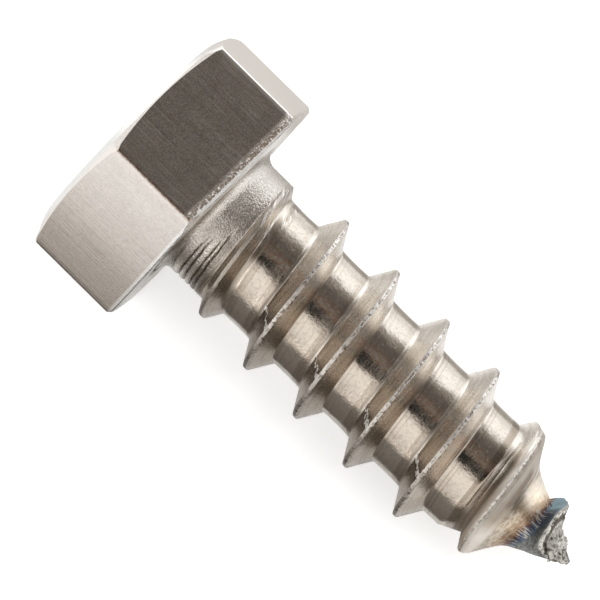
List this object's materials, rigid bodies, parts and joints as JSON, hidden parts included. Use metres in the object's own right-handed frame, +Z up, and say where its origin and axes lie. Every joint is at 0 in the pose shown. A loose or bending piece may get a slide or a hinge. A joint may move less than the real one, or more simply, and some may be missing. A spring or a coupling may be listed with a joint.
{
  "type": "hex lag bolt",
  "caption": "Short hex-head lag bolt in bare steel with a coarse wood thread, a plain neck and a pinched, heat-tinted gimlet point, lying on its side.",
  "frame": {"origin": "middle of the footprint, on the surface the bolt lies on", "axes": "+Z up; the bolt's length runs along X with its point towards +X, tipped down by about 8 degrees; one flat of the head faces up and its opposite flat's lower edge rests on the floor with one crest of the thread"},
  "size_m": [0.0326, 0.0162, 0.0147],
  "materials": {
    "bare_steel": "bare stainless steel: brushed flats, grainy neck, bright rolled thread, blue and straw heat tint at the torn point"
  },
  "bodies": {
    "root": {"lag_bolt": "bare_steel"}
  },
  "joints": []
}
